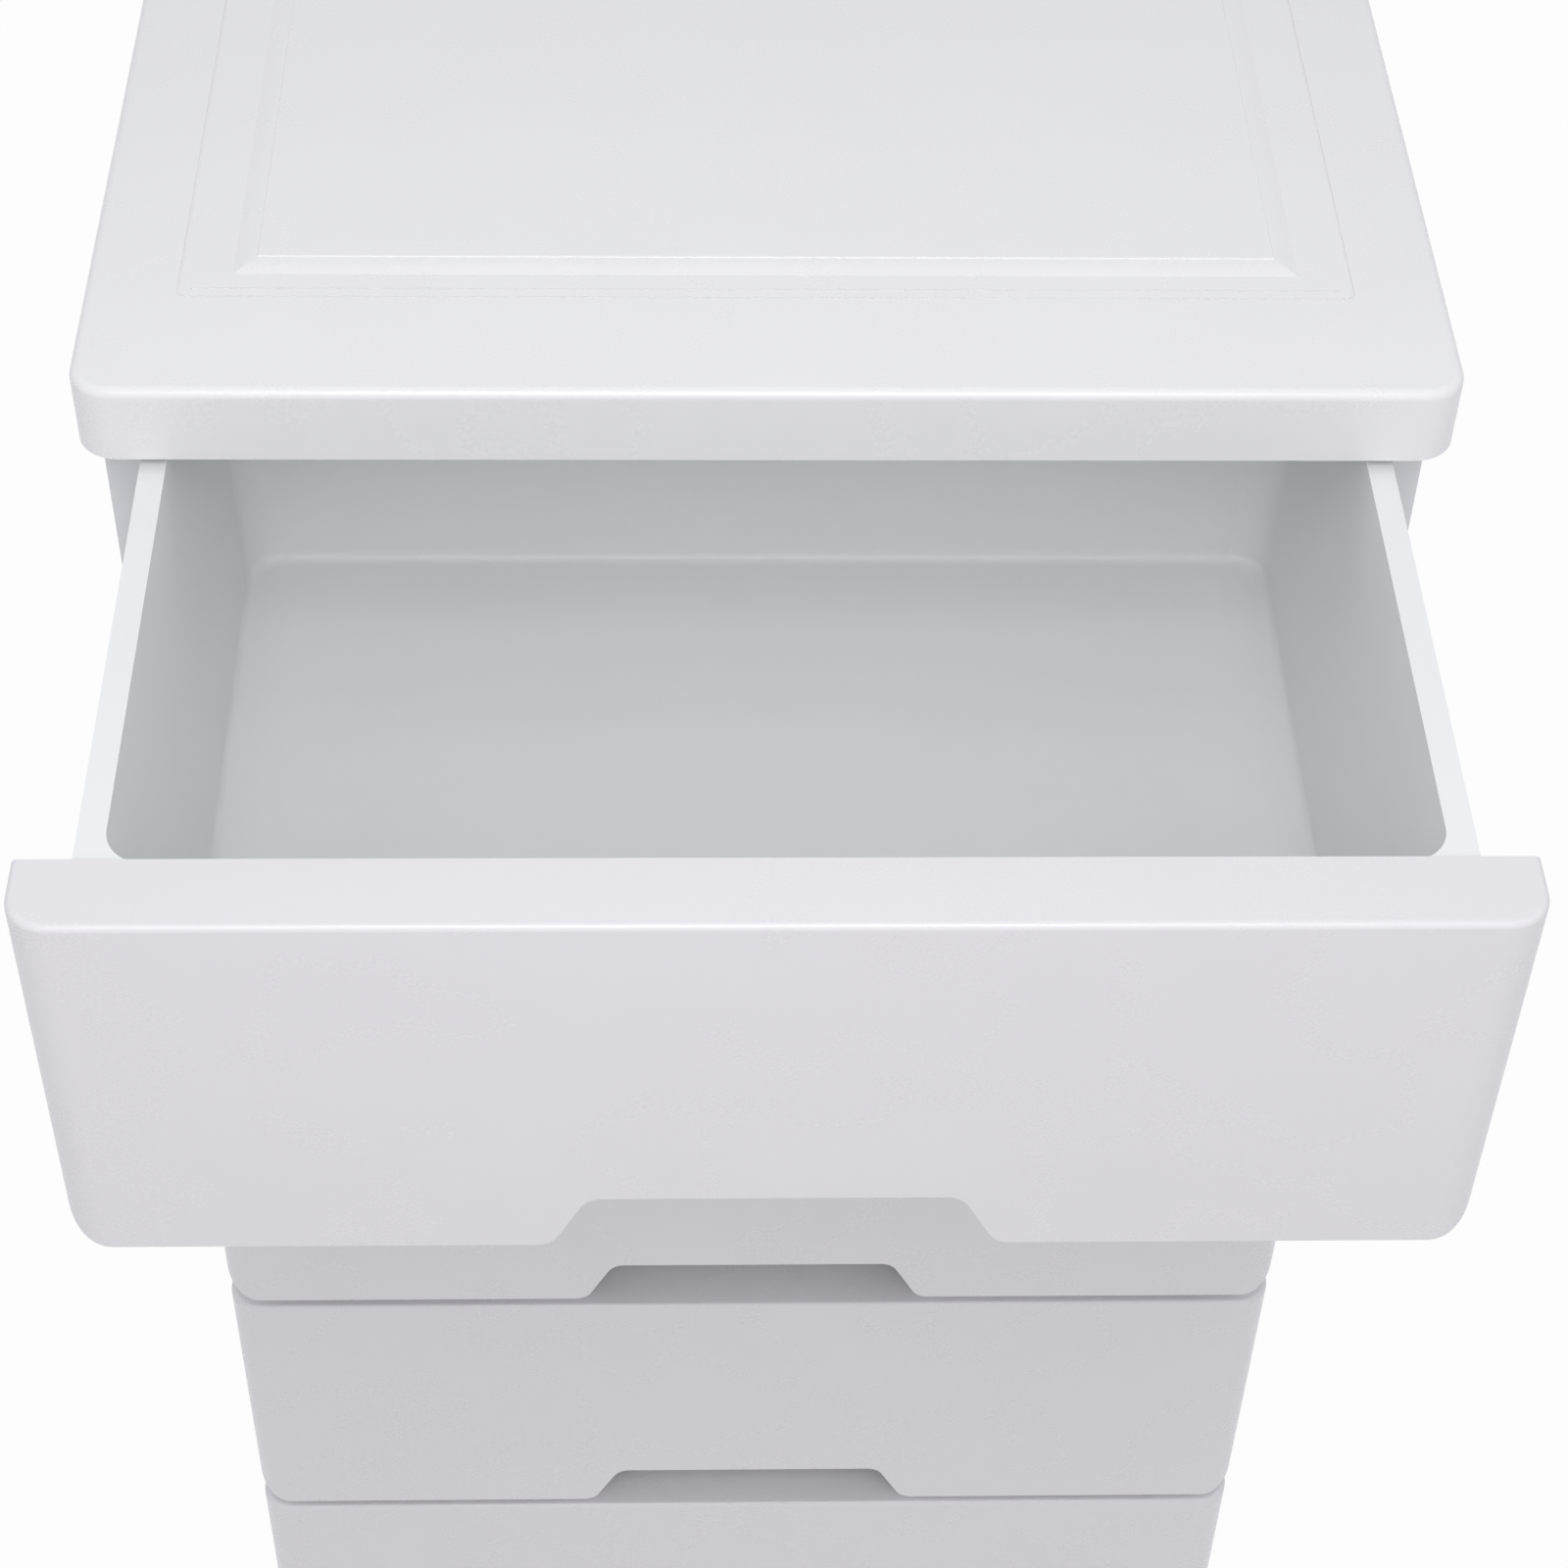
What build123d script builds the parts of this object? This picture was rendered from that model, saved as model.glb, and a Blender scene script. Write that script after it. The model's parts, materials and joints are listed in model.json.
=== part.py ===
from build123d import *
import os

# Plastic drawer tower: five drawers in a stack of moulded tiers, under a framed
# top cover, on a plinth with four swivel casters.  Millimetres, +Z up.  The front
# faces -Y, the floor is z = 0 and the origin lies in the middle of the cabinet's
# plan.  Drawer 1 is the top one and stands pulled out; the others are shut.

# ---------------------------------------------------------------- driving sizes
# top cover
top_width = 420.0
top_depth = 320.0
top_height = 28.0
top_corner_radius = 13.0
top_edge_radius = 3.0

# walls and ribs of the cover, the dividers and the plinth
slab_wall = 3.0
slab_rib = 2.5
rib_count_x = 5
rib_count_y = 4

# moulded frame on the top cover
frame_side_margin = 28.5
frame_end_margin = 45.5
frame_corner_radius = 3.0
groove_width = 0.8
groove_depth = 0.5
second_groove_inset = 4.4
band_side_width = 16.5
band_end_width = 11.5
bevel_width = 6.5
bevel_rise = 1.4
panel_step = 0.4
panel_step_inset = 0.4

# stack of tiers
level_count = 5
divider_thickness = 4.0
divider_plate = 2.0
body_inset = 3.0
body_corner_radius = 2.0

# side panels
side_thickness = 14.0
side_skin = 2.8
flange_thickness = 2.5
stiffener_thickness = 2.0
stiffener_count = 3
ledge_thickness = 3.0
ledge_overhang = 6.0
field_margin = 18.0
field_depth = 0.8
peg_diameter = 6.0
peg_clearance = 0.1
peg_reach = 2.0
peg_end_clearance = 1.0
peg_count = 3
peg_end_margin = 26.0

# back panels
back_thickness = 2.4
back_slot_clearance = 0.3
back_edge_engagement = 7.0

# drawer boxes
box_wall = 2.5
box_floor_thickness = 2.5
box_floor_clearance = 5.0
box_draft = 4.5
box_corner_radius = 15.0
box_foot_radius = 4.0
rim_width = 8.0
rim_thickness = 3.0
rim_side_clearance = 2.0
rim_ledge_clearance = 0.3
rim_back_clearance = 7.0
rim_corner_radius = 9.0
tab_length = 12.0
tab_reach = 6.0

# drawer fronts
front_height = 140.5
front_gap = 5.5
front_depth = 25.0
front_wall = 2.5
front_plan_radius = 12.0
front_foot_radius = 14.0
front_top_edge_radius = 2.0
front_drop = 2.0
front_shut_gap = 0.8
front_rib_thickness = 2.0
front_rib_side_inset = 42.0
front_rib_notch_gap = 19.5
notch_top_width = 109.0
notch_bottom_width = 131.0
notch_height = 22.0
notch_corner_radius = 7.0
notch_lip_depth = 6.0
hook_side_inset = 37.0
hook_spacing = 46.0
hook_width = 16.0
hook_thickness = 3.0
hook_clearance = 0.2
hook_barb = 1.2
hook_barb_length = 1.5
hook_foot_inset = 45.0
hook_top_inset = 32.5

# travel of the drawers
drawer_travel = 200.0
drawer_stop_clearance = 1.2
drawer_open_at_rest = 188.0

# plinth and casters
plinth_height = 36.0
caster_height = 60.0
caster_x_inset = 38.0
caster_y_inset = 38.0
caster_trail = 14.0
socket_diameter = 22.0
stem_diameter = 8.0
stem_reach = 30.0
stem_clearance = 0.05
stem_collar_diameter = 18.0
stem_collar_height = 4.6
swivel_clearance = 0.3
stem_end_clearance = 1.0
crown_diameter = 32.0
crown_height = 11.0
hood_thickness = 3.0
hood_overlap = 2.0
cheek_thickness = 3.0
cheek_clearance = 1.0
cheek_end_radius = 8.0
wheel_diameter = 40.0
wheel_width = 16.0
tyre_thickness = 3.5
tyre_edge_radius = 2.0
tyre_seat_clearance = 0.02
hub_recess = 4.0
hub_boss_diameter = 12.0
hub_rim_thickness = 2.5
axle_diameter = 5.0
axle_clearance = 0.05
axle_head_diameter = 8.0
axle_head_height = 1.2

# how far a cutting solid runs past the surface that it cuts
overcut = 1.0

# ---------------------------------------------------------------- derived sizes
level_pitch = front_height + front_gap
body_half_width = top_width / 2 - body_inset
front_plane = -top_depth / 2
front_back = front_plane + front_depth
body_front = front_back + front_shut_gap
body_back = top_depth / 2 - body_inset
body_depth = body_back - body_front
body_middle = (body_front + body_back) / 2
side_inner = body_half_width - side_thickness
tier_height = level_pitch - divider_thickness
plinth_top = caster_height + plinth_height
cover_bottom = plinth_top + level_count * level_pitch - divider_thickness
panel_rise = bevel_rise + panel_step

rim_top = front_height - front_drop
rim_bottom = rim_top - rim_thickness
ledge_top = rim_bottom - rim_ledge_clearance
rim_half_width = side_inner - rim_side_clearance
box_half_width = rim_half_width - rim_width + box_wall
rim_back = body_back - flange_thickness - back_slot_clearance - back_thickness - rim_back_clearance
box_back = rim_back - rim_width + box_wall
box_front = front_back - box_wall
tab_front = body_front + flange_thickness + drawer_travel + drawer_stop_clearance
back_face = body_back - flange_thickness - back_slot_clearance
back_slot_front = back_face - back_thickness - back_slot_clearance
back_slot_half_width = side_inner + back_edge_engagement + back_slot_clearance

caster_x = top_width / 2 - caster_x_inset
caster_y = top_depth / 2 - caster_y_inset
wheel_radius = wheel_diameter / 2
collar_bottom = caster_height - stem_collar_height
crown_top = collar_bottom - swivel_clearance
crown_bottom = crown_top - crown_height
cheek_inner = wheel_width / 2 + cheek_clearance
cheek_outer = cheek_inner + cheek_thickness


# ---------------------------------------------------------------- small helpers
def block(x0, x1, y0, y1, z0, z1):
    """A box between two corners."""
    centre = Pos((x0 + x1) / 2, (y0 + y1) / 2, (z0 + z1) / 2)
    return centre * Box(x1 - x0, y1 - y0, z1 - z0)


def upright(x, y, z0, z1, diameter):
    """A vertical cylinder."""
    return Pos(x, y, (z0 + z1) / 2) * Cylinder(diameter / 2, z1 - z0)


def crosswise(y, z, x0, x1, diameter):
    """A cylinder along X."""
    return Pos((x0 + x1) / 2, y, z) * Rot(0, 90, 0) * Cylinder(diameter / 2, x1 - x0)


def level_floor(level):
    """Height of the surface that a tier stands on; level 1 is the top one."""
    return plinth_top + (level_count - level) * level_pitch


def spread(low, high, count):
    """Evenly spaced places from low to high, both included."""
    return [low + (high - low) * i / (count - 1) for i in range(count)]


def cell_pockets(half_x, half_y, corner, z0, z1, wall):
    """Pockets under a slab, which leave its skirt and a grid of ribs."""
    room = RectangleRounded(2 * (half_x - wall), 2 * (half_y - wall), max(corner - wall, corner / 10))
    room = Pos(0, 0, z0) * extrude(room, z1 - z0)
    pitch_x = (2 * half_x - 2 * wall + slab_rib) / rib_count_x
    pitch_y = (2 * half_y - 2 * wall + slab_rib) / rib_count_y
    pockets = []
    for i in range(rib_count_x):
        for j in range(rib_count_y):
            x0 = -half_x + wall + i * pitch_x
            y0 = -half_y + wall + j * pitch_y
            cell = block(x0, x0 + pitch_x - slab_rib, y0, y0 + pitch_y - slab_rib, z0, z1)
            pockets.append(cell & room)
    return pockets


def slab_pockets(height):
    """The pockets from below into the cover or the plinth, up to a height."""
    return cell_pockets(top_width / 2, top_depth / 2, top_corner_radius, 0, height, slab_wall)


def peg_places():
    """Plan positions of the locating pegs along one side panel."""
    x = body_half_width - side_thickness / 2
    return [(x, y) for y in spread(body_front + peg_end_margin, body_back - peg_end_margin, peg_count)]


def both_sides(places):
    """The same places on the left and the right."""
    return places + [(-x, y) for x, y in places]


def arched_profile(half_width):
    """Section of the raised panel: flat top, each end falling in one long arc."""
    top = half_width - bevel_width
    base = Line((-half_width, 0), (half_width, 0))
    right = TangentArc((top, bevel_rise), (half_width, 0), tangent=(1, 0))
    flat = Line((top, bevel_rise), (-top, bevel_rise))
    left = TangentArc((-top, bevel_rise), (-half_width, 0), tangent=(-1, 0))
    return make_face([base, right, flat, left])


# ---------------------------------------------------------------- top cover
def raised_panel(z):
    """The large panel in the middle of the cover, with mitred bevels all round."""
    half_x = top_width / 2 - frame_side_margin - band_side_width
    half_y = top_depth / 2 - frame_end_margin - band_end_width
    along_y = extrude(Plane.XZ * arched_profile(half_x), half_y, both=True)
    along_x = extrude(Plane.YZ * arched_profile(half_y), half_x, both=True)
    step_inset = bevel_width + panel_step_inset
    step = Pos(0, 0, bevel_rise + panel_step / 2) * Box(
        2 * (half_x - step_inset), 2 * (half_y - step_inset), panel_step
    )
    step = chamfer(step.edges().group_by(Axis.Z)[-1], panel_step / 2)
    return Pos(0, 0, z) * (along_y & along_x) + Pos(0, 0, z) * step


def frame_grooves(z):
    """The fine moulded lines round the raised panel."""
    ring_x = top_width - 2 * frame_side_margin
    ring_y = top_depth - 2 * frame_end_margin
    outer = RectangleRounded(ring_x, ring_y, frame_corner_radius)
    inner = RectangleRounded(ring_x - 2 * groove_width, ring_y - 2 * groove_width,
                             frame_corner_radius - groove_width)
    grooves = Pos(0, 0, z - groove_depth) * extrude(outer - inner, groove_depth)
    line_x = ring_x / 2 - second_groove_inset
    line_y = ring_y / 2 - second_groove_inset
    for side in (-1, 1):
        y = side * line_y
        line = block(-line_x, line_x, y - groove_width / 2, y + groove_width / 2, z - groove_depth, z)
        grooves += line
    return grooves


def top_cover():
    """The framed slab that closes the tower, ribbed underneath, with pegs for the sides."""
    border = top_height - panel_rise
    slab = extrude(RectangleRounded(top_width, top_depth, top_corner_radius), border)
    slab = fillet(slab.faces().sort_by(Axis.Z)[-1].edges(), top_edge_radius)
    slab -= slab_pockets(border - slab_wall)
    slab += raised_panel(border)
    slab -= frame_grooves(border)
    for x, y in both_sides(peg_places()):
        slab += upright(x, y, -peg_reach, border - slab_wall, peg_diameter)
    return Pos(0, 0, cover_bottom) * slab


# ---------------------------------------------------------------- cabinet tiers
def side_panel():
    """The right-hand side of a tier, as it stands on z = 0."""
    inner = side_inner
    outer = body_half_width
    panel = block(inner, outer, body_front, body_back, 0, tier_height)
    corners = panel.edges().filter_by(Axis.Z).sort_by(Axis.X)[-2:]
    panel = fillet(corners, body_corner_radius)
    skin = outer - side_skin
    front = body_front + flange_thickness
    back = body_back - flange_thickness
    panel -= block(inner - overcut, skin, front, back, flange_thickness, tier_height - flange_thickness)
    rib_front = back_slot_front - flange_thickness
    panel += block(inner - ledge_overhang, skin, front, rib_front, ledge_top - ledge_thickness, ledge_top)
    panel += block(inner, skin, rib_front, back_slot_front, 0, tier_height)
    slot = back_slot_half_width
    panel -= block(inner - overcut, slot, back_slot_front, back, -overcut, tier_height + overcut)
    gap = (rib_front - front) / (stiffener_count + 1)
    for i in range(stiffener_count):
        y = front + (i + 1) * gap
        panel += block(inner, skin, y, y + stiffener_thickness, 0, ledge_top - ledge_thickness)
    field = extrude(
        Plane.YZ * Pos(body_middle, tier_height / 2)
        * Rectangle(body_depth - 2 * field_margin, tier_height - 2 * field_margin),
        field_depth, taper=-45,
    )
    panel -= Pos(outer - field_depth, 0, 0) * field
    for x, y in peg_places():
        hole = peg_diameter + 2 * peg_clearance
        panel -= upright(x, y, tier_height - flange_thickness - overcut, tier_height + overcut, hole)
        panel += upright(x, y, -divider_thickness - peg_reach, flange_thickness, peg_diameter)
    return panel


def back_panel():
    """The rear wall of a tier, held in the slots of the two side panels."""
    half = side_inner + back_edge_engagement
    panel = block(-half, half, back_face - back_thickness, back_face, 0, tier_height - back_slot_clearance)
    field = extrude(
        Plane.XZ * Pos(0, tier_height / 2)
        * Rectangle(2 * (side_inner - field_margin), tier_height - 2 * field_margin),
        field_depth, taper=45,
    )
    return panel - Pos(0, back_face, 0) * field


def divider():
    """The shelf between two tiers, its top at z = 0, with holes for the pegs."""
    shelf = block(-body_half_width, body_half_width, body_front, body_back, -divider_thickness, 0)
    shelf = fillet(shelf.edges().filter_by(Axis.Z), body_corner_radius)
    half_x, half_y = body_half_width, body_depth / 2
    low, high = -divider_thickness, -divider_plate
    for pocket in cell_pockets(half_x, half_y, body_corner_radius, low, high, side_thickness):
        shelf -= Pos(0, body_middle, 0) * pocket
    for x, y in both_sides(peg_places()):
        shelf -= upright(x, y, -divider_thickness - overcut, overcut, peg_diameter + 2 * peg_clearance)
    return shelf


# ---------------------------------------------------------------- drawers
def notch_outline(grow):
    """The finger notch in the bottom edge of a front, in front view."""
    low = notch_bottom_width / 2 + grow
    high = notch_top_width / 2 + grow
    top = notch_height + grow
    slope = (low - high) / notch_height
    depth = notch_height
    shape = make_face(Polyline(
        (-low - slope * depth, -depth), (-high, top), (high, top), (low + slope * depth, -depth), close=True
    ))
    return fillet(shape.vertices().sort_by(Axis.Y)[-2:], notch_corner_radius + grow)


def front_outline(inset):
    """The face of a drawer front in front view, without its notch."""
    half = body_half_width - inset
    outline = Pos(0, front_height / 2) * Rectangle(2 * half, front_height - 2 * inset)
    return fillet(outline.vertices().sort_by(Axis.Y)[:2], front_foot_radius - inset)


def front_plan(inset):
    """The drawer front from above, with its two rounded vertical edges."""
    half = body_half_width - inset
    depth = front_depth - inset
    plan = Pos(0, front_back - depth / 2) * Rectangle(2 * half, depth)
    return fillet(plan.vertices().sort_by(Axis.Y)[:2], front_plan_radius - inset)


def front_body(inset, outline):
    """Front view and plan view crossed, so that both sets of corners are rounded."""
    seen_from_front = extrude(Plane.XZ * outline, top_depth, both=True)
    seen_from_above = extrude(front_plan(inset), front_height)
    return seen_from_front & seen_from_above


def notched_face():
    """The outline of a front with the notch cut and every corner of it rounded."""
    outline = front_outline(0) - notch_outline(0)
    feet = outline.vertices().sort_by(Axis.Y)
    feet = [v for v in feet if v.Y < notch_height / 2 and abs(v.X) < (notch_bottom_width + side_thickness) / 2]
    return fillet(feet, notch_corner_radius)


def finger_lip():
    """A rim round the notch, turned back behind the face."""
    band = notch_outline(front_wall) & notched_face()
    start = front_plane + front_wall
    return extrude(Plane.XZ.offset(-start) * band, front_wall - notch_lip_depth)


def snap_hook(x, z):
    """A tongue that runs from the front through the box and grips behind its wall."""
    left, right = x - hook_width / 2, x + hook_width / 2
    grip = front_back + hook_clearance
    tip = grip + hook_barb_length
    top = z + hook_thickness
    tongue = block(left, right, front_plane + front_wall, tip, z, top)
    return tongue + block(left, right, grip, tip, top, top + hook_barb)


def hook_spots():
    """Where the snap hooks stand, in front view."""
    outer = box_half_width - hook_side_inset
    heights = (hook_foot_inset, front_height - hook_top_inset)
    return [(side * x, z) for x in (outer, outer - hook_spacing) for side in (-1, 1) for z in heights]


def front_rib_places():
    """Where the ribs behind the face stand, left and right of the notch."""
    outer = body_half_width - front_rib_side_inset
    inner = notch_bottom_width / 2 + front_rib_notch_gap
    return [-outer, -inner, inner, outer]


def drawer_front():
    """One front with its foot at z = 0: a hollow shell with a notch, ribs and hooks."""
    shell = front_body(0, notched_face())
    around_top = shell.faces().sort_by(Axis.Z)[-1].edges().sort_by(Axis.Y)
    shell = fillet(around_top[:-1], front_top_edge_radius)
    shell -= front_body(front_wall, front_outline(front_wall))
    shell += finger_lip()
    for x in front_rib_places():
        shell += block(
            x - front_rib_thickness / 2, x + front_rib_thickness / 2,
            front_plane + front_wall, box_front, front_wall, front_height - front_wall,
        )
    for x, z in hook_spots():
        shell += snap_hook(x, z)
    return shell


def box_body(inset, z0, z1):
    """The drafted form of a drawer box between two heights."""
    height = rim_top - box_floor_clearance
    shapes = []
    for z in (z0, z1):
        lean = box_draft * (rim_top - z) / height
        half = box_half_width - inset - lean
        depth = box_back - box_front - 2 * inset - lean
        middle = box_front + inset + depth / 2
        shapes.append(Pos(0, middle, z) * RectangleRounded(2 * half, depth, box_corner_radius - inset))
    return loft(shapes, ruled=True)


def drawer_rim():
    """The flange round the top of a box, with a stop tab on each side."""
    outer = Pos(0, (front_back + rim_back) / 2) * Rectangle(2 * rim_half_width, rim_back - front_back)
    outer = fillet(outer.vertices().sort_by(Axis.Y)[-2:], box_corner_radius + rim_corner_radius - box_wall)
    rim = Pos(0, 0, rim_bottom) * extrude(outer, rim_thickness)
    for side in (-1, 1):
        x0, x1 = sorted((side * (rim_half_width - rim_width / 2), side * (rim_half_width + tab_reach)))
        rim += block(x0, x1, tab_front, tab_front + tab_length, rim_bottom, rim_top)
    return rim


def drawer_box():
    """One open box whose tier floor is z = 0, in its shut place."""
    bottom = box_floor_clearance
    body = box_body(0, bottom, rim_top)
    body = fillet(body.faces().sort_by(Axis.Z)[0].edges(), box_foot_radius)
    body += drawer_rim()
    hollow = box_body(box_wall, bottom + box_floor_thickness, rim_top + overcut)
    hollow = fillet(hollow.faces().sort_by(Axis.Z)[0].edges(), box_foot_radius)
    body -= hollow
    under_front = front_height - front_wall
    body -= block(-top_width, top_width, box_front - overcut, front_back, under_front, front_height)
    slot_x = hook_width / 2 + hook_clearance
    for x, z in hook_spots():
        body -= block(
            x - slot_x, x + slot_x, box_front - overcut, front_back + overcut,
            z - hook_clearance, z + hook_thickness + hook_clearance,
        )
    return body


# ---------------------------------------------------------------- plinth and casters
def caster_places():
    """Name, plan position and trailing direction of each caster."""
    return [
        ("front_left", -caster_x, -caster_y, -1),
        ("front_right", caster_x, -caster_y, -1),
        ("rear_left", -caster_x, caster_y, 1),
        ("rear_right", caster_x, caster_y, 1),
    ]


def plinth():
    """The base of the stack: a ribbed slab with peg holes above and sockets below."""
    slab = extrude(RectangleRounded(top_width, top_depth, top_corner_radius), plinth_height)
    step_bottom = plinth_height - front_gap
    slab -= block(-top_width, top_width, -top_depth, front_back, step_bottom, plinth_height + overcut)
    wide = peg_diameter + 2 * slab_wall
    kept = [upright(x, y, 0, plinth_height, wide) for x, y in both_sides(peg_places())]
    kept += [upright(x, y, 0, plinth_height, socket_diameter) for _, x, y, _ in caster_places()]
    kept.append(block(
        -top_width, top_width, -top_depth, front_back + slab_wall, step_bottom - slab_wall, plinth_height
    ))
    for pocket in slab_pockets(plinth_height - slab_wall):
        slab -= pocket - kept
    hole_bottom = plinth_height - divider_thickness - peg_reach - peg_end_clearance
    for x, y in both_sides(peg_places()):
        slab -= upright(x, y, hole_bottom, plinth_height + overcut, peg_diameter + 2 * peg_clearance)
    for _, x, y, _ in caster_places():
        slab -= upright(x, y, -overcut, stem_reach, stem_diameter + 2 * stem_clearance)
    return Pos(0, 0, caster_height) * slab


def caster_stem(x, y):
    """The steel pin that is pushed into the plinth and carries the fork."""
    low = crown_bottom + stem_end_clearance
    high = caster_height + stem_reach - stem_end_clearance
    pin = upright(x, y, low, high, stem_diameter)
    collar = upright(x, y, collar_bottom, caster_height, stem_collar_diameter)
    return pin + collar


def caster_fork():
    """Crown, hood and two cheeks, trailing towards +Y from the stem's axis."""
    back = caster_trail + wheel_radius / 2
    front = -crown_diameter / 2 + cheek_thickness
    fork = upright(0, 0, crown_bottom, crown_top, crown_diameter)
    hood_top = crown_bottom + hood_overlap
    fork += block(-cheek_outer, cheek_outer, front, back, hood_top - hood_thickness, hood_top)
    side = make_face(Polyline(
        (front, crown_bottom), (back, crown_bottom),
        (caster_trail + cheek_end_radius, wheel_radius), (caster_trail - cheek_end_radius, wheel_radius),
        close=True,
    ))
    side += Pos(caster_trail, wheel_radius) * Circle(cheek_end_radius)
    cheek = extrude(Plane.YZ * side, cheek_thickness)
    fork += Pos(cheek_inner, 0, 0) * cheek
    fork += Pos(-cheek_outer, 0, 0) * cheek
    hole = axle_diameter + 2 * axle_clearance
    fork -= crosswise(caster_trail, wheel_radius, -cheek_outer - overcut, cheek_outer + overcut, hole)
    bore = stem_diameter + 2 * stem_clearance
    fork -= upright(0, 0, crown_bottom - hood_thickness, crown_top + overcut, bore)
    return fork


def caster_axle():
    """The steel axle with a flat head outside each cheek."""
    reach = cheek_outer + axle_clearance
    axle = crosswise(caster_trail, wheel_radius, -reach, reach, axle_diameter)
    for side in (-1, 1):
        x0, x1 = sorted((side * reach, side * (reach + axle_head_height)))
        axle += crosswise(caster_trail, wheel_radius, x0, x1, axle_head_diameter)
    return axle


def wheel_hub():
    """The wheel's body, recessed on both sides round a central boss."""
    half = wheel_width / 2
    seat = wheel_diameter - 2 * tyre_thickness
    hub = crosswise(caster_trail, wheel_radius, -half, half, seat)
    dish = seat - 2 * hub_rim_thickness
    for side in (-1, 1):
        x0, x1 = sorted((side * (half - hub_recess), side * (half + overcut)))
        cut = crosswise(caster_trail, wheel_radius, x0, x1, dish)
        cut -= crosswise(caster_trail, wheel_radius, x0, x1, hub_boss_diameter)
        hub -= cut
    hole = axle_diameter + 2 * axle_clearance
    return hub - crosswise(caster_trail, wheel_radius, -half - overcut, half + overcut, hole)


def wheel_tyre():
    """The soft tread ring round the hub."""
    half = wheel_width / 2
    tyre = crosswise(caster_trail, wheel_radius, -half, half, wheel_diameter)
    tyre = fillet(tyre.edges().filter_by(GeomType.CIRCLE), tyre_edge_radius)
    seat = wheel_diameter - 2 * tyre_thickness + 2 * tyre_seat_clearance
    return tyre - crosswise(caster_trail, wheel_radius, -half - overcut, half + overcut, seat)


# ---------------------------------------------------------------- assembly
def save(shape, node):
    """Write one piece under its own name."""
    export_step(shape, f"parts/{node}.step")


def save_tiers():
    """The sides, backs and shelves of every level."""
    right = side_panel()
    left = mirror(right, Plane.YZ)
    rear = back_panel()
    shelf = divider()
    for level in range(1, level_count + 1):
        lift = Pos(0, 0, level_floor(level))
        save(lift * left, f"side_panel_left_{level}")
        save(lift * right, f"side_panel_right_{level}")
        save(lift * rear, f"back_panel_{level}")
        if level < level_count:
            save(lift * shelf, f"divider_{level}")


def save_drawers():
    """A box and a front for every level; the top drawer is pulled out."""
    box = drawer_box()
    front = drawer_front()
    for level in range(1, level_count + 1):
        pull = drawer_open_at_rest if level == 1 else 0
        place = Pos(0, -pull, level_floor(level))
        save(place * box, f"drawer_box_{level}")
        save(place * front, f"drawer_front_{level}")


def save_casters():
    """Stem, fork, axle, hub and tyre for every corner."""
    pieces = {
        "caster_fork": caster_fork(),
        "caster_axle": caster_axle(),
        "wheel_hub": wheel_hub(),
        "wheel_tyre": wheel_tyre(),
    }
    for name, x, y, direction in caster_places():
        save(caster_stem(x, y), f"caster_stem_{name}")
        turn = Pos(x, y, 0) * Rot(0, 0, 0 if direction > 0 else 180)
        for kind, shape in pieces.items():
            save(turn * shape, f"{kind}_{name}")


os.makedirs("parts", exist_ok=True)
save(top_cover(), "top_cover")
save(plinth(), "plinth")
save_tiers()
save_drawers()
save_casters()
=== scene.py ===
import bpy
import json
import math
from mathutils import Euler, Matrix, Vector

# %% [markdown]
# # A five-drawer plastic tower
# The tower is a stack of white polypropylene mouldings: a framed cover, five tiers
# with a drawer each, and a plinth on casters. Every rigid piece comes in from the
# construction model at its real size, so this script never places or resizes one.
# Its work is the light, the view and the finishes: a white object is read almost
# only by its edges, its gloss and its soft shading.

# %% Load the model and keep its box
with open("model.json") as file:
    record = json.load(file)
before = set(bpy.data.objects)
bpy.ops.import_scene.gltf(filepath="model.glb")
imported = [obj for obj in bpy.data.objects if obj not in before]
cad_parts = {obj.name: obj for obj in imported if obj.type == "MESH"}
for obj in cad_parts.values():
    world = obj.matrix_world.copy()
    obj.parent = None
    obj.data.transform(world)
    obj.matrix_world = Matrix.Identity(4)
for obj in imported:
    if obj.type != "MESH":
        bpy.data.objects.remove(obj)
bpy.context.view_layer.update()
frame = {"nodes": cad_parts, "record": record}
nodes = frame["nodes"]

# %% [markdown]
# ## The view
# The picture looks down on the open top drawer from standing height, with a long
# lens, so that the sides of the tower converge only a little. The three angles and
# the place of the camera were solved from the edges of the cover and the drawers.
# A camera in Blender looks along its own -Z, so with no rotation it looks straight
# down, and turning it 44 degrees about X lifts its gaze towards +Y by 44 degrees.

# %% Camera
CAMERA_PLACE = Vector((-0.0253, -0.9407, 1.4876))
CAMERA_ANGLES = (44.065, -1.122, -1.209)
CAMERA_LENS = 77.27
SENSOR_WIDTH = 36.0


def add_camera():
    """The camera at the picture's viewing angle."""
    data = bpy.data.cameras.new("camera")
    data.lens = CAMERA_LENS
    data.sensor_width = SENSOR_WIDTH
    data.sensor_fit = "HORIZONTAL"
    data.clip_end = 50.0
    camera = bpy.data.objects.new("camera", data)
    camera.location = CAMERA_PLACE
    camera.rotation_euler = Euler([math.radians(a) for a in CAMERA_ANGLES], "XYZ")
    bpy.context.scene.collection.objects.link(camera)
    bpy.context.scene.camera = camera
    return camera


add_camera()
bpy.context.scene.view_settings.view_transform = "Standard"
print("camera", round((CAMERA_PLACE - Vector((0, -0.16, 0.82))).length, 3), "m from the top drawer")

# %% [markdown]
# ## Shader maths as plain expressions
# A node tree is a formula drawn as boxes. Writing it as a formula is easier to read,
# so one small class wraps a socket and turns + and * into Math nodes. Colours take
# another road: a Math node would turn them grey, so they are blended by a Mix node.


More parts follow.
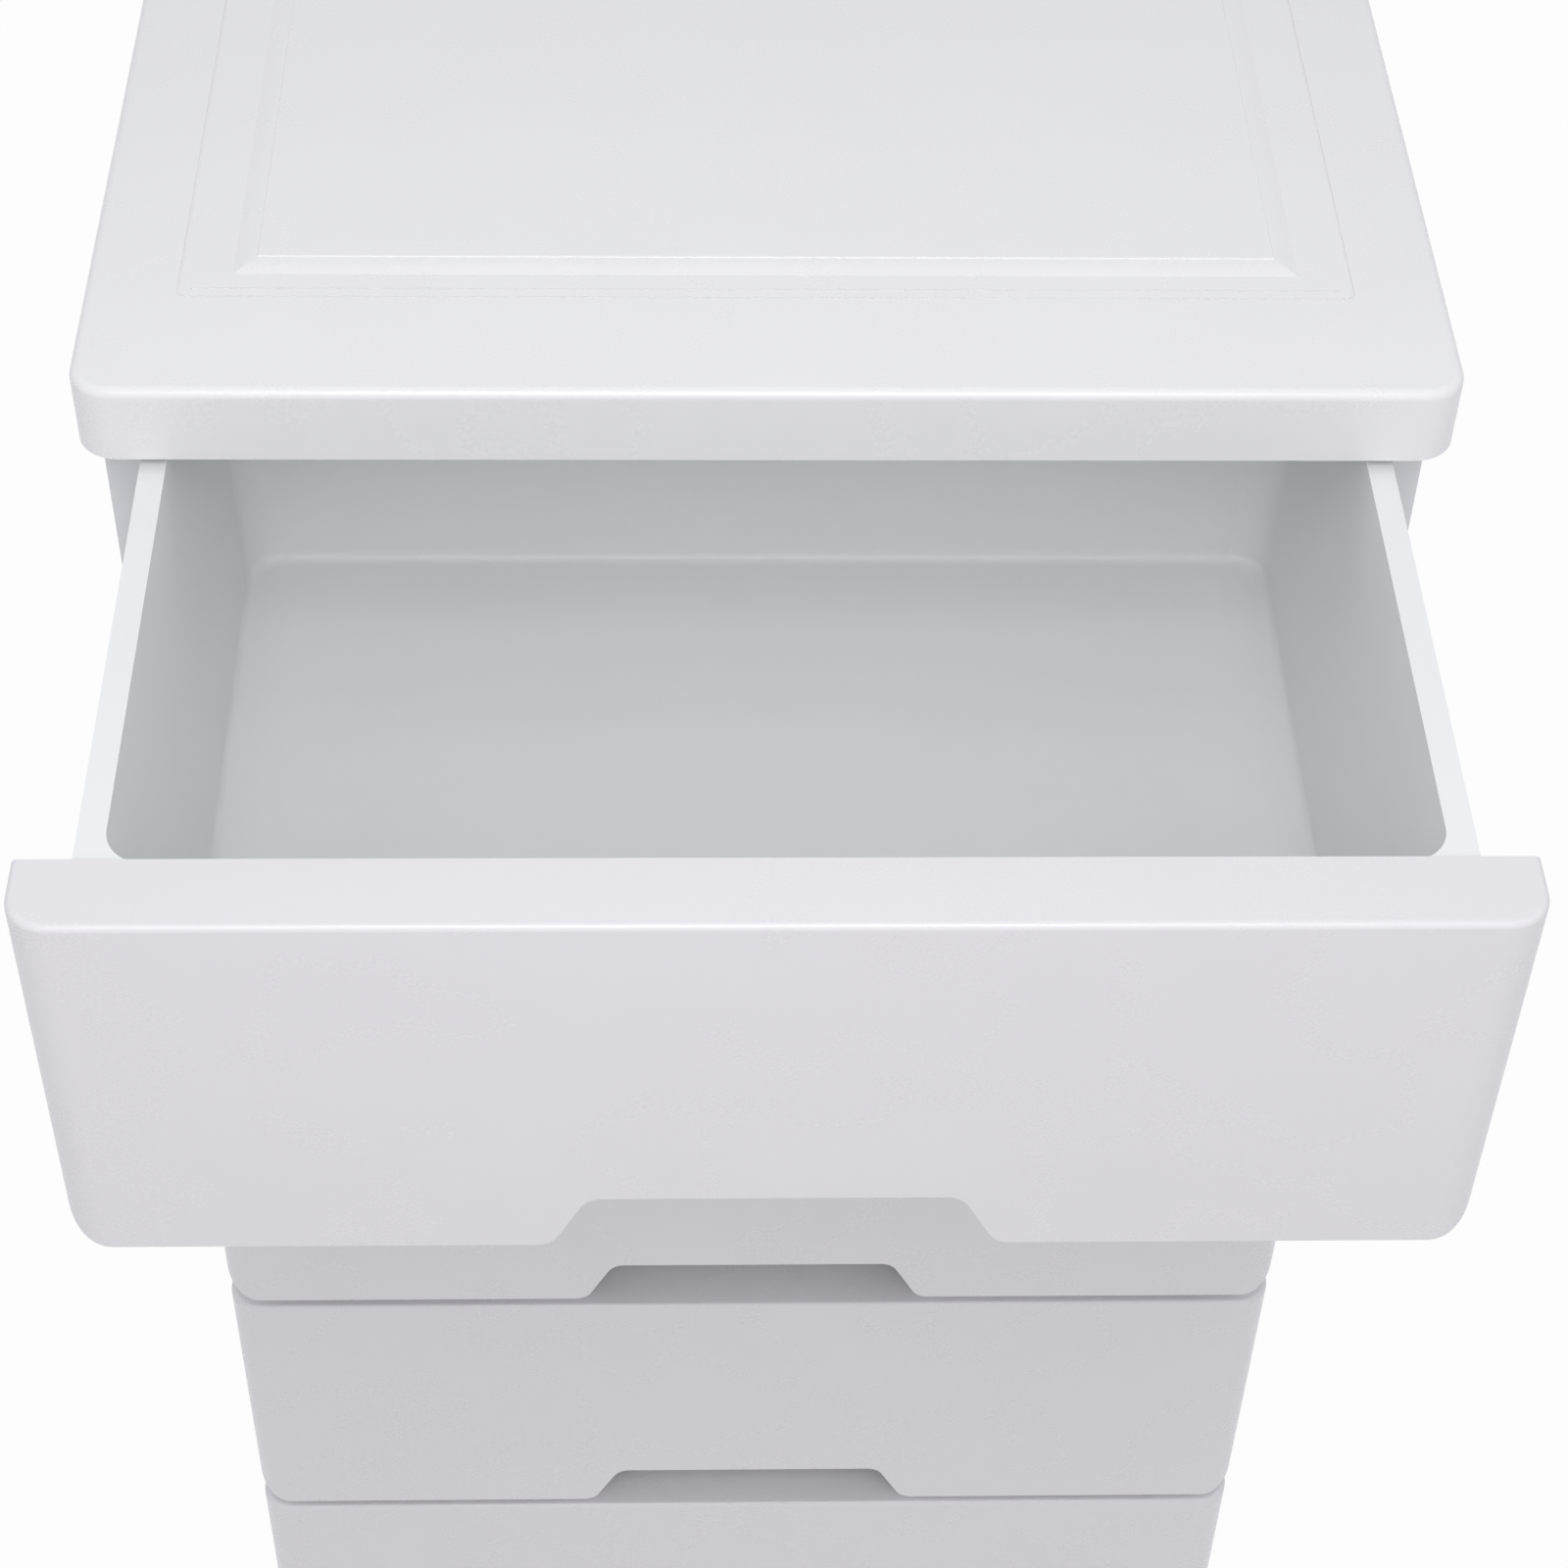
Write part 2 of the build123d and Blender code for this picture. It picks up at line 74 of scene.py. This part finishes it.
# %% A socket that can be added, scaled and blended
class Value:
    """One output socket of a material, with arithmetic."""

    def __init__(self, tree, socket):
        self.tree = tree
        self.socket = socket

    def node(self, kind, settings=None, inputs=None, output=0):
        """Adds any node: settings first, then the values or links of its sockets."""
        made = self.tree.nodes.new(kind)
        for name, value in (settings or {}).items():
            setattr(made, name, value)
        for name, value in (inputs or {}).items():
            if isinstance(value, Value):
                self.tree.links.new(value.socket, made.inputs[name])
            else:
                made.inputs[name].default_value = value
        return Value(self.tree, made.outputs[output])

    def maths(self, operation, first, second):
        return self.node("ShaderNodeMath", {"operation": operation}, {0: first, 1: second})

    def __add__(self, other):
        return self.maths("ADD", self, other)

    __radd__ = __add__

    def __mul__(self, other):
        return self.maths("MULTIPLY", self, other)

    __rmul__ = __mul__

    def ramp(self, low, high):
        """0 below low, 1 above high, and a soft step between."""
        settings = {"interpolation_type": "SMOOTHSTEP"}
        sockets = {"Value": self, "From Min": low, "From Max": high}
        return self.node("ShaderNodeMapRange", settings, sockets)

    def blend(self, dark, light):
        """From one colour to another as this value goes from 0 to 1."""
        sockets = {0: self, 6: (*dark, 1.0), 7: (*light, 1.0)}
        return self.node("ShaderNodeMix", {"data_type": "RGBA"}, sockets, 2)


# %% A new material with its coordinates and its shader
def start_material(name):
    """An empty material: its shader, and the place on the object as a first value."""
    material = bpy.data.materials.new(name)
    material.use_nodes = True
    tree = material.node_tree
    shader = tree.nodes["Principled BSDF"]
    place = tree.nodes.new("ShaderNodeTexCoord")
    return material, shader, Value(tree, place.outputs["Object"])


def link(value, shader, socket):
    """Feeds one shader socket."""
    value.tree.links.new(value.socket, shader.inputs[socket])


def noise(place, scale, detail=2.0, roughness=0.5, stretch=(1.0, 1.0, 1.0)):
    """Cloudy noise from 0 to 1, its scale in waves per metre."""
    vector = place.node("ShaderNodeMapping", None, {"Vector": place, "Scale": stretch})
    sockets = {"Vector": vector, "Scale": scale, "Detail": detail, "Roughness": roughness}
    return place.node("ShaderNodeTexNoise", None, sockets, 0)


# %% [markdown]
# ## White polypropylene
# The real plastic is not flat white. The mould leaves a fine spark-eroded grain, the
# cooling part shrinks into very shallow waves that bend its reflections, the gloss
# comes and goes with the pressure of the melt, and the pits of the grain look a shade
# darker. Each of these is one noise at its own scale. Grain and waves go into a Bump,
# and the same grain, with the slow patches of gloss, into the roughness and colour.


# %% One recipe for every white moulding
GRAIN_SIZE = 0.0011
GRAIN_HEIGHT = 0.000012
WAVES_PER_METRE = 9.0
WAVE_HEIGHT = 0.0006


def white_plastic(name, colour, gloss, grain_depth=0.5):
    """Satin white plastic: grain, moulding waves and uneven gloss."""
    material, shader, place = start_material(name)
    waves = noise(place, WAVES_PER_METRE, 1.0)
    grain = noise(place, 1.0 / GRAIN_SIZE, 3.0, 0.6)
    patches = noise(place, 24.0, 1.0, 0.4)
    shade = tuple(0.97 * c for c in colour)
    link((patches * 0.5 + grain * 0.15).blend(colour, shade), shader, "Base Color")
    link(patches * 0.08 + grain * 0.03 + (gloss - 0.055), shader, "Roughness")
    height = waves * WAVE_HEIGHT + grain * (GRAIN_HEIGHT * grain_depth)
    bump = place.node("ShaderNodeBump", None, {"Strength": 1.0, "Distance": 1.0, "Height": height})
    link(bump, shader, "Normal")
    shader.inputs["IOR"].default_value = 1.49
    shader.inputs["Specular IOR Level"].default_value = 0.5
    shader.inputs["Subsurface Weight"].default_value = 0.06
    shader.inputs["Subsurface Radius"].default_value = (0.004, 0.004, 0.004)
    return material


finishes = {
    "cover_plastic": white_plastic("cover_plastic", (0.87, 0.865, 0.89), 0.27),
    # front_plastic is the cover's white made darker: painted shade for the dimmer light on the upright
    # drawer fronts, not a darker plastic
    "front_plastic": white_plastic("front_plastic", (0.78, 0.765, 0.80), 0.27),
    "drawer_plastic": white_plastic("drawer_plastic", (0.86, 0.87, 0.885), 0.36),
    "cabinet_plastic": white_plastic("cabinet_plastic", (0.78, 0.78, 0.81), 0.46, grain_depth=1.6),
    "caster_plastic": white_plastic("caster_plastic", (0.72, 0.72, 0.74), 0.38),
}
print("white finishes:", ", ".join(finishes))

# %% [markdown]
# ## Tyres and steel
# The soft tyres are grey rubber with dust in the tread, which is paler and duller
# than the rubber. The stems and axles are zinc-plated steel: a metal whose brushed
# streaks run round the turned piece, made by noise that is stretched along the axle.


# %% Rubber and steel
def tyre_rubber():
    """Grey rubber that has picked up dust."""
    material, shader, place = start_material("tyre")
    dust = noise(place, 180.0, 5.0, 0.7).ramp(0.45, 0.75)
    grain = noise(place, 1400.0, 3.0)
    link(dust.blend((0.05, 0.05, 0.055), (0.16, 0.155, 0.15)), shader, "Base Color")
    link(dust * 0.2 + 0.6, shader, "Roughness")
    bump = place.node("ShaderNodeBump", None, {"Strength": 0.5, "Distance": 0.0002, "Height": grain})
    link(bump, shader, "Normal")
    return material


def plated_steel():
    """Zinc-plated steel with turning marks."""
    material, shader, place = start_material("steel")
    streaks = noise(place, 900.0, 4.0, 0.7, (0.08, 1.0, 1.0))
    spots = noise(place, 300.0, 3.0)
    link(spots.blend((0.60, 0.61, 0.63), (0.74, 0.74, 0.73)), shader, "Base Color")
    link(streaks * 0.25 + 0.2, shader, "Roughness")
    bump = place.node("ShaderNodeBump", None, {"Strength": 0.4, "Distance": 0.0001, "Height": streaks})
    link(bump, shader, "Normal")
    shader.inputs["Metallic"].default_value = 1.0
    return material


finishes["tyre"] = tyre_rubber()
finishes["steel"] = plated_steel()
print("all finishes:", ", ".join(finishes))

# %% Give every node the finish of its slot
slot_of = {entry["node"]: entry["material_slot"] for entry in frame["record"]["subparts"]}
for name, piece in nodes.items():
    piece.data.materials.clear()
    piece.data.materials.append(finishes[slot_of[name]])
print("dressed nodes:", len(slot_of))

# %% [markdown]
# ## Floor and background
# The picture was cut out on pure white. A floor that is white only to the camera
# gives that: its material is a light for camera rays and plain white paint for every
# other ray, mixed so that a trace of the paint stays and keeps the soft shadow.


# %% Floor that the camera sees as white
def seen_directly(tree):
    """1 for rays that come from the camera, a mirror or glass, else 0."""
    rays = tree.nodes.new("ShaderNodeLightPath")
    first = Value(tree, rays.outputs["Is Camera Ray"])
    glossy = Value(tree, rays.outputs["Is Glossy Ray"])
    through = Value(tree, rays.outputs["Is Transmission Ray"])
    return first.maths("MAXIMUM", first, first.maths("MAXIMUM", glossy, through))


def add_floor():
    """A large pale floor, white to the camera but for the object's shadow."""
    bpy.ops.mesh.primitive_plane_add(size=12.0)
    floor = bpy.context.object
    floor.name = "studio_floor"
    material, shader, _ = start_material("studio_floor")
    tree = material.node_tree
    shader.inputs["Base Color"].default_value = (0.86, 0.86, 0.86, 1.0)
    shader.inputs["Roughness"].default_value = 0.9
    white = tree.nodes.new("ShaderNodeEmission")
    white.inputs["Color"].default_value = (1.0, 1.0, 1.0, 1.0)
    mixed = tree.nodes.new("ShaderNodeMixShader")
    tree.links.new((seen_directly(tree) * 0.96).socket, mixed.inputs[0])
    tree.links.new(shader.outputs[0], mixed.inputs[1])
    tree.links.new(white.outputs[0], mixed.inputs[2])
    tree.links.new(mixed.outputs[0], tree.nodes["Material Output"].inputs["Surface"])
    floor.data.materials.append(material)
    return floor


floor = add_floor()
print("floor is", round(floor.dimensions.x, 1), "m wide")

# %% [markdown]
# ## Light
# White plastic needs a light that is wide, so that it shades softly, and that comes
# from one side more than the others, so that it shades at all. A large lamp above
# and a little in front gives the brightest tops, a weaker one in front opens the
# faces, and the world fills the rest with a faintly lilac white.

# %% World and lamps
WORLD_LOW = (0.46, 0.45, 0.48)
WORLD_HIGH = (0.62, 0.63, 0.64)


def add_world():
    """Lilac-white surroundings that light the object, seen as pure white."""
    world = bpy.data.worlds.new("studio")
    bpy.context.scene.world = world
    world.use_nodes = True
    tree = world.node_tree
    background = tree.nodes["Background"]
    coordinates = tree.nodes.new("ShaderNodeTexCoord")
    parts = tree.nodes.new("ShaderNodeSeparateXYZ")
    tree.links.new(coordinates.outputs["Generated"], parts.inputs[0])
    height = Value(tree, parts.outputs["Z"]).ramp(-0.3, 0.8)
    around = height.blend(WORLD_LOW, WORLD_HIGH)
    sockets = {0: seen_directly(tree), 6: around, 7: (1.0, 1.0, 1.0, 1.0)}
    colour = around.node("ShaderNodeMix", {"data_type": "RGBA"}, sockets, 2)
    tree.links.new(colour.socket, background.inputs["Color"])
    return world


def add_lamp(name, place, aim, size, power, colour=(1.0, 1.0, 1.0)):
    """A square area lamp at a place, turned towards a point."""
    data = bpy.data.lights.new(name, "AREA")
    data.size = size
    data.energy = power
    data.color = colour
    lamp = bpy.data.objects.new(name, data)
    lamp.location = place
    lamp.rotation_euler = (Vector(aim) - Vector(place)).to_track_quat("-Z", "Y").to_euler()
    bpy.context.scene.collection.objects.link(lamp)
    return lamp


add_world()
drawer_height = 0.75
add_lamp("lamp_above", (0.0, -1.0, 1.75), (0.0, -0.25, drawer_height), 0.7, 7.4)
add_lamp("lamp_front", (0.2, -2.6, 1.1), (0.0, -0.2, 0.45), 1.8, 2.2)
